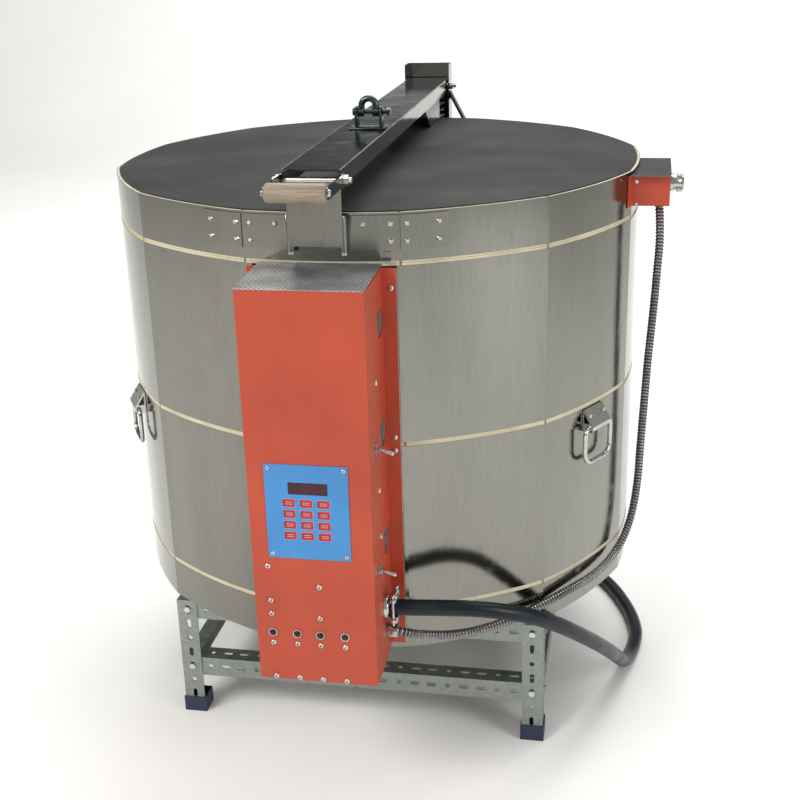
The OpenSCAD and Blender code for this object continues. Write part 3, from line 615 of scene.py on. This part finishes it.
def ring_coil(radius, z, coil_radius, wire_radius, pitch):
    """A heating element: a fine helix bent round into a ring."""
    turns = int(2 * math.pi * radius / pitch)
    line = []
    for k in range(turns * 8):
        a = 2 * math.pi * k / (turns * 8)
        b = 2 * math.pi * k / 8
        r = radius + coil_radius * math.cos(b)
        line.append(Vector((r * math.cos(a), r * math.sin(a), z + coil_radius * math.sin(b))))
    return tube(line, wire_radius, 4, closed=True)


COIL_HALF = 5.5 * MM  # half the CAD element's thickness
COIL_WIRE = 1.1 * MM
COIL_RADIUS = COIL_HALF - 0.1 * MM - COIL_WIRE
COIL_PITCH = 7 * MM
WALL_RINGS = 6
LID_RINGS, LID_RING_STEP = 3, 80 * MM
low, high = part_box("wall_elements")
wall_r = high.x - COIL_HALF
ring_step = (high.z - low.z - 2 * COIL_HALF) / (WALL_RINGS - 1)
wall_z = [low.z + COIL_HALF + k * ring_step for k in range(WALL_RINGS)]
walls = joined([ring_coil(wall_r, z, COIL_RADIUS, COIL_WIRE, COIL_PITCH) for z in wall_z])
walls = piece("wall_coils", *walls, wire, "element")
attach(walls, "kiln")
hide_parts("wall_elements")
low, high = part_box("lid_elements")
lid_coil_z = (low.z + high.z) / 2
lids = joined([ring_coil(high.x - COIL_HALF - k * LID_RING_STEP, lid_coil_z, COIL_RADIUS, COIL_WIRE,
                         COIL_PITCH) for k in range(LID_RINGS)])
lids = piece("lid_coils", *lids, wire, "element")
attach(lids, "lid")
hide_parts("lid_elements")


# ---- wooden grip -------------------------------------------------------------------------------

low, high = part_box("wooden_grip")
grip_r = (high.z - low.z) / 2
grip_at = Vector((0, (low.y + high.y) / 2, (low.z + high.z) / 2))
ARM_THICKNESS = 2.4 * MM
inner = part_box("grip_arms")[1].x - ARM_THICKNESS
# Its rounded end, as (share of its radius, height); it swells slightly between its two ends.
END_SHAPE = [(0.80, 0), (0.93, 1.2 * MM), (0.985, 3 * MM)]
edge, end_height = END_SHAPE[-1]
shape = [(grip_r * share, h) for share, h in END_SHAPE]
shape += [(grip_r * (edge + (1 - edge) * math.sin(math.pi * k / 12)),
           end_height + (2 * inner - 2 * end_height) * k / 12) for k in range(1, 12)]
shape += [(grip_r * share, 2 * inner - h) for share, h in END_SHAPE[::-1]]
grip = piece("turned_grip", *turned(shape, grip_at - Vector((inner, 0, 0)), (1, 0, 0), 48), wood,
             "beech")
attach(grip, "grip")
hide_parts("wooden_grip")
GRIP_SCREW = 3.2 * MM  # the height of its head, which ends 0.2 mm short of the CAD grip's end
ends = joined([turned(dome(5 * MM, GRIP_SCREW),
                      grip_at + Vector((side * (high.x - GRIP_SCREW - 0.2 * MM), 0, 0)),
                      (side, 0, 0), 24) for side in (-1, 1)])
grip_screws = piece("grip_screws", *ends, zinc, "zinc")
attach(grip_screws, "grip")


# ---- controls ----------------------------------------------------------------------------------

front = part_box("case_cover")[0].y
plate_low, plate_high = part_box("faceplate")
face = plate_low.y
KEY_X = (-28.5, -4, 20.5)  # in mm, as all the sizes of the keys
KEY_Z = (521, 504.5, 488, 471.5)


def printed(x, z, half_width, half_height, front_lift, back_lift, round_by):
    """A thin patch on the faceplate; its lifts are how far its two faces stand off the plate."""
    return slab(((x - half_width) * MM, face - front_lift * MM, (z - half_height) * MM),
                ((x + half_width) * MM, face - back_lift * MM, (z + half_height) * MM),
                round_by * MM)


borders, reds, prints, numbers = [], [], [], []
for x in KEY_X:
    for z in KEY_Z:
        borders.append(printed(x, z, 9.0, 6.4, 0.35, 0, 1.0))
        reds.append(printed(x, z, 8.4, 5.8, 0.6, 0.3, 0.8))
        prints += [printed(x, z + dz, 5.0, 0.5, 0.68, 0.55, 0.2) for dz in (-1.5, 1.5)]
        numbers += [printed(x - 7.6, z + dz, 1.0, 1.1, 0.68, 0.55, 0.3) for dz in (-3.2, 0, 3.2)]
keys = piece("key_borders", *joined(borders), key_white, "keys", smooth=False)
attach(keys, "kiln")
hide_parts("keypad_keys")
for name, parts, material in (("key_tops", reds, key_red), ("key_prints", prints, key_print),
                              ("key_numbers", numbers, ink_and_painted_shade)):
    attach(piece(name, *joined(parts), material, "keys", smooth=False), "kiln")

low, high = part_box("display_window")
glass = piece("display_glass", *slab((low.x, low.y, low.z), (high.x, high.y, high.z), 1.5 * MM),
              window, "display", smooth=False)
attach(glass, "kiln")
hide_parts("display_window")


def digit(cx, cz, width, height, y):
    """An unlit seven-segment digit: three bars and four posts."""
    w, h, t = width / 2, height / 2, 0.8 * MM
    bars = [(cx, cz + dz, w - t, t / 2) for dz in (-h, 0, h)]
    posts = [(cx + dx, cz + dz, t / 2, h / 2 - t) for dx in (-w, w) for dz in (-h / 2, h / 2)]
    return [slab((x - a, y - 0.05 * MM, z - b), (x + a, y + 0.02 * MM, z + b))
            for x, z, a, b in bars + posts]


DIGIT_PITCH = 11 * MM
digits = []
for k in (-1.5, -0.5, 0.5, 1.5):
    digits += digit((low.x + high.x) / 2 + k * DIGIT_PITCH, (low.z + high.z) / 2, 6 * MM, 9 * MM,
                    low.y)
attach(piece("display_digits", *joined(digits), segment, "display", smooth=False), "kiln")

LAMP_X = (-64, -28, 6, 42)
RIM = [(7, 0), (7, 0.9), (6.6, 1.6), (5.3, 1.6), (5.0, 1.0)]
LENS = [(5.0, 0.2), (5.0, 1.6), (4.4, 2.7), (3.2, 3.5), (1.6, 3.9), (0.2, 4.0)]
low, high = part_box("pilot_lamps")
lamp_z = (low.z + high.z) / 2
rims, lenses = ([mm_turned(profile, (x * MM, front, lamp_z), (0, -1, 0)) for x in LAMP_X]
                for profile in (RIM, LENS))
lamp_rims = piece("lamp_rims", *joined(rims), polished, "polished")
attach(lamp_rims, "kiln")
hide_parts("pilot_lamps")
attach(piece("lamp_lenses", *joined(lenses), lens_red, "lamp"), "kiln")


# ---- screws and rivets -------------------------------------------------------------------------

def screw(at, direction, radius, height, turn):
    """A pan head, and in a second list two dark bars across its cross, which are painted shade in
    the recess.
    """
    axis = Vector(direction).normalized()
    head = turned(dome(radius, height), at, axis, 20)
    first = axis.orthogonal().normalized()
    first = (Matrix.Rotation(turn, 3, axis) @ first).normalized()
    second = axis.cross(first)
    slot_shades = []
    for long, wide in ((first, second), (second, first)):
        verts = []
        for lift in (height * 0.80, height * 1.03):
            for a, b in ((-1, -1), (1, -1), (1, 1), (-1, 1)):
                verts.append(Vector(at) + axis * lift + long * a * radius * 0.52
                             + wide * b * radius * 0.11)
        slot_shades.append((verts, [[0, 3, 2, 1], [4, 5, 6, 7], [0, 1, 5, 4], [1, 2, 6, 5], [2, 3, 7, 6],
                              [3, 0, 4, 7]]))
    return head, slot_shades


def add_screws(name, places, body, radius, height, replaced=None):
    """Screws at (place, direction), each turned differently, as two pieces: heads and the painted
    shade in their cross recesses.
    """
    heads, slot_shades = [], []
    for k, (at, direction) in enumerate(places):
        head, cross = screw(at, direction, radius, height, 0.7 + 1.9 * k)
        heads.append(head)
        slot_shades += cross
    made = piece(name, *joined(heads), zinc, "zinc")
    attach(made, body)
    if replaced:
        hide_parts(replaced)
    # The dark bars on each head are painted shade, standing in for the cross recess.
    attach(piece(name + "_slots", *joined(slot_shades), ink_and_painted_shade, "zinc", smooth=False), body)


# The case's screws in mm: x and z on its front and its flanges, y and z on both its sides.
FRONT = [(-65, 421), (8, 392), (-64, 366), (-64, 345), (7, 342), (-64, 298), (-28, 298), (6, 298),
         (42, 298), (-63, 242), (-28, 242), (7, 242), (42, 242)]
FLANGE = [(98, 794), (98, 574), (98, 554), (-98, 794), (-98, 564), (98, 290), (-98, 290)]
SIDE = [(-493, 521), (-493, 680), (-493, 450)]
PLATE_INSET = 6 * MM
flange_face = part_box("case_base")[1].y - 1.5 * MM
side_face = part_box("case_cover")[1].x
places = [((x * MM, front, z * MM), (0, -1, 0)) for x, z in FRONT]
places += [((x * MM, flange_face, z * MM), (0, -1, 0)) for x, z in FLANGE]
places += [((s * side_face, y * MM, z * MM), (s, 0, 0)) for y, z in SIDE for s in (-1, 1)]
add_screws("case_screw_heads", places, "kiln", 4.0 * MM, 2.6 * MM, "case_screws")
corners = [((x, face, z), (0, -1, 0))
           for x in (plate_low.x + PLATE_INSET, plate_high.x - PLATE_INSET)
           for z in (plate_low.z + PLATE_INSET, plate_high.z - PLATE_INSET)]
add_screws("plate_screw_heads", corners, "kiln", 3.0 * MM, 1.9 * MM)


# ---- fittings ----------------------------------------------------------------------------------

# The cord's clamp, in mm: a collar in the box's wall, two jaws and two screws that draw them in.
CLAMP_Y, CLAMP_Z = -478, 330
COLLAR = [(12.3, -9.5), (13.3, -9.5), (13.3, 0), (18, 0), (18, 5), (16.5, 7), (14.5, 8.5),
          (12.3, 8.5)]
wall = side_face / MM
at = (side_face, CLAMP_Y * MM, CLAMP_Z * MM)
jaws = [mm_turned(COLLAR, at, (1, 0, 0), 40)]
for side in (-1, 1):
    z0, z1 = sorted((CLAMP_Z + side * 11.5, CLAMP_Z + side * 23.5))
    jaws.append(mm_block((wall + 8, CLAMP_Y - 12, z0), (wall + 20, CLAMP_Y + 12, z1), 3.5))
for y in (CLAMP_Y - 13.6, CLAMP_Y + 13.6):
    line = [Vector((wall + 14, y, z)) * MM for z in (CLAMP_Z - 24, CLAMP_Z + 24)]
    jaws.append(tube(line, 2.1 * MM, 14))
    for side in (-1, 1):
        z0, z1 = sorted((CLAMP_Z + side * 12.5, CLAMP_Z + side * 20))
        jaws.append(mm_block((wall + 9, y - 4, z0), (wall + 19, y + 4, z1), 2.5))
    jaws.append(turned(dome(4.4 * MM, 3 * MM), line[1], (0, 0, 1), 20))
clamp = piece("clamp_jaws", *joined(jaws), polished, "polished")
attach(clamp, "kiln")
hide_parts("cord_clamp")

# The junction box's roof: its inner edge follows the bow of the lid's side.
BOW_RADIUS, BOW_CENTRE = 628.5 * MM, -205 * MM
ROOF_INSET, ROOF_THICKNESS = 0.4 * MM, 1.2 * MM
box_low, box_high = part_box("junction_box")
front_y, back_y = box_low.y + ROOF_INSET, box_high.y - ROOF_INSET
outline = [(box_high.x - ROOF_INSET, front_y), (box_high.x - ROOF_INSET, back_y)]
for k in range(9):
    y = back_y + (front_y - back_y) * k / 8
    outline.append((math.sqrt(BOW_RADIUS ** 2 - y * y) + BOW_CENTRE, y))
roof = piece("junction_roof", *prism(outline, box_high.z, box_high.z + ROOF_THICKNESS),
             strap_steel, "galvanised")
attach(roof, "lid")

low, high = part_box("junction_connector")
hub = (low.x, (low.y + high.y) / 2, (low.z + high.z) / 2)
reach = (high.x - low.x) / MM
barrel = [(9, 0), (9, 7), (13.6, 8), (13.6, 12.5), (11.4, 13), (11.4, reach - 6), (12, reach - 5),
          (12, reach - 1), (11, reach), (8.5, reach), (8.5, reach - 3)]
connector = [mm_turned(barrel, hub, (1, 0, 0), 36)]
for side in (-1, 1):
    connector.append(turned(dome(3.6 * MM, 3 * MM),
                            (high.x - 7 * MM, hub[1] - 3 * MM, hub[2] + side * 10.6 * MM),
                            (0, -0.25, side), 16))
    y0, y1 = hub[1] - 9 * MM, hub[1] + 5 * MM
    z0, z1 = sorted((hub[2] + side * 3 * MM, hub[2] + side * 13 * MM))
    connector.append(block((high.x - 11 * MM, y0, z0), (high.x - 2 * MM, y1, z1), 2 * MM))
connector = piece("connector_body", *joined(connector), polished, "polished")
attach(connector, "lid")
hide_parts("junction_connector")
add_screws("junction_screw_heads",
           [((box_low.x + 13 * MM, box_low.y, z), (0, -1, 0))
            for z in (box_low.z + 6 * MM, box_high.z - 8 * MM)], "lid", 2.6 * MM, 1.8 * MM)

# The bow's bracket: a plate on the bar with two rounded lugs round the bow's pin.
LUG_INNER, LUG_OUTER, LUG_RADIUS = 17 * MM, 21.5 * MM, 9 * MM
LUG_END = [(7.5, 0), (9, 0.8), (9, 3.7), (7.5, 4.5)]
PLATE_THICKNESS = 3.4 * MM
pin_low, pin_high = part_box("bow_pin")
pin_z = (pin_low.z + pin_high.z) / 2
low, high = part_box("bow_base")
lug_x, lug_y = (low.x + high.x) / 2, (low.y + high.y) / 2
bracket = [block(low, (high.x, high.y, low.z + PLATE_THICKNESS), 1.2 * MM)]
for side in (-1, 1):
    x0, x1 = sorted((lug_x + side * LUG_INNER, lug_x + side * LUG_OUTER))
    bracket.append(block((x0, lug_y - LUG_RADIUS, low.z + 1 * MM),
                         (x1, lug_y + LUG_RADIUS, pin_z), 1.2 * MM))
    bracket.append(mm_turned(LUG_END, (x0, lug_y, pin_z), (1, 0, 0)))
bracket = piece("bow_bracket", *joined(bracket), dark_steel, "dark_steel")
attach(bracket, "lid")
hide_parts("bow_base")

# Woven wire behind the three round vents in each side of the case.
VENT_Y, VENT_Z = -448 * MM, (750 * MM, 590 * MM, 422 * MM)
MESH_DEPTH, MESH_RADIUS, MESH_PITCH, MESH_WIRE = 3.9 * MM, 20.5 * MM, 2.7 * MM, 0.62 * MM
vents = []
for side in (-1, 1):
    for z in VENT_Z:
        vents += woven_disc(side * (side_face - MESH_DEPTH), VENT_Y, z, MESH_RADIUS, MESH_PITCH,
                            MESH_WIRE)
vent_mesh = piece("vent_mesh", *joined(vents), mesh_steel, "grille")
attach(vent_mesh, "kiln")

# Sheet edges, given a brighter metal than their sheet as a painted highlight: the case's flanges
# and the bar's folded top edges.
base_low, base_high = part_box("case_base")
# Thin strips on the flanges' cut edges, in bright zinc as a painted highlight.
edges = [block((x, base_high.y - 1.6 * MM, base_low.z),
               (x + 0.5 * MM, base_high.y - 0.1 * MM, base_high.z), 0.15 * MM)
         for x in (base_low.x - 0.4 * MM, base_high.x - 0.1 * MM)]
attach(piece("flange_highlight_edges", *joined(edges), zinc, "galvanised", smooth=False), "kiln")
bar_low, bar_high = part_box("lift_bar")
FOLD_INSET, FOLD_RADIUS = 0.6 * MM, 0.95 * MM
# Rods on the bar's folded top edges, in bright zinc rather than the bar's stainless as a painted
# highlight.
highlight_folds = [tube([Vector((x, y, bar_high.z - FOLD_INSET))
               for y in (bar_low.y + 1 * MM, bar_high.y - 1 * MM)], FOLD_RADIUS, 12)
         for x in (bar_low.x + FOLD_INSET, bar_high.x - FOLD_INSET)]
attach(piece("bar_highlight_folds", *joined(highlight_folds), zinc, "stainless"), "lid")


# ---- studio ------------------------------------------------------------------------------------

FLOOR_FRONT, FLOOR_BACK, BACKDROP_TOP, BACKDROP_HALF_WIDTH = -9, 4.5, 7, 11
BEND_RADIUS = 2
PALE_BELOW, DARK_ABOVE = 0.9, 2.0


def add_stage():
    """A pale floor that curves up into a backdrop far behind the kiln.

    The backdrop darkens above what the main camera sees, so that the lid and its bar reflect dark.
    """
    profile = [(FLOOR_FRONT, 0), (FLOOR_BACK, 0)]
    profile += [(FLOOR_BACK + BEND_RADIUS * math.sin(a), BEND_RADIUS - BEND_RADIUS * math.cos(a))
                for a in (math.radians(10 * k) for k in range(1, 10))]
    profile += [(FLOOR_BACK + BEND_RADIUS, BACKDROP_TOP)]
    verts = [(x, y, z) for x in (-BACKDROP_HALF_WIDTH, BACKDROP_HALF_WIDTH) for y, z in profile]
    count = len(profile)
    faces = [[k, k + 1, k + 1 + count, k + count] for k in range(count - 1)]
    n = Nodes("backdrop")
    pale = n.ramp(n.noise(1.5, 3), [(0.3, (0.90, 0.90, 0.89)), (0.7, (0.94, 0.94, 0.93))])
    rise = n.spread(n.axis("Z"), 0.0, 1.0, PALE_BELOW, DARK_ABOVE)
    tone = n.mix(rise, pale, (0.07, 0.075, 0.08))
    data = bpy.data.meshes.new("backdrop")
    data.from_pydata(verts, [], faces)
    data.materials.append(n.done(tone, 0.9))
    for polygon in data.polygons:
        polygon.use_smooth = True
    made = bpy.data.objects.new("backdrop", data)
    bpy.context.scene.collection.objects.link(made)


def add_light(name, place, target, size, power, color=(1, 1, 1)):
    """A rectangular area light in watts that faces its target."""
    data = bpy.data.lights.new(name, "AREA")
    data.shape = "RECTANGLE"
    data.size, data.size_y = size
    data.energy = power
    data.color = color
    made = bpy.data.objects.new(name, data)
    bpy.context.scene.collection.objects.link(made)
    made.location = place
    made.rotation_euler = (Vector(target) - Vector(place)).to_track_quat("-Z", "Y").to_euler()


add_stage()
add_light("key", (-2.4, -3.2, 3.4), (0, 0, 0.5), (2.4, 1.8), 150, (1, 0.98, 0.95))
add_light("fill", (3.4, -2.2, 2.0), (0, 0, 0.5), (1.2, 2.6), 60, (0.96, 0.98, 1))
add_light("top", (0.3, 1.2, 3.6), (0, 0, 0.6), (3.0, 2.0), 90)
add_light("back", (0, 3.4, 3.4), (0, 5.2, 0), (5.0, 1.2), 110)
world = bpy.data.worlds.new("studio")
world.use_nodes = True
background = world.node_tree.nodes["Background"]
background.inputs["Color"].default_value = (0.62, 0.61, 0.58, 1)
background.inputs["Strength"].default_value = 0.75
bpy.context.scene.world = world
bpy.context.scene.view_settings.view_transform = "Standard"
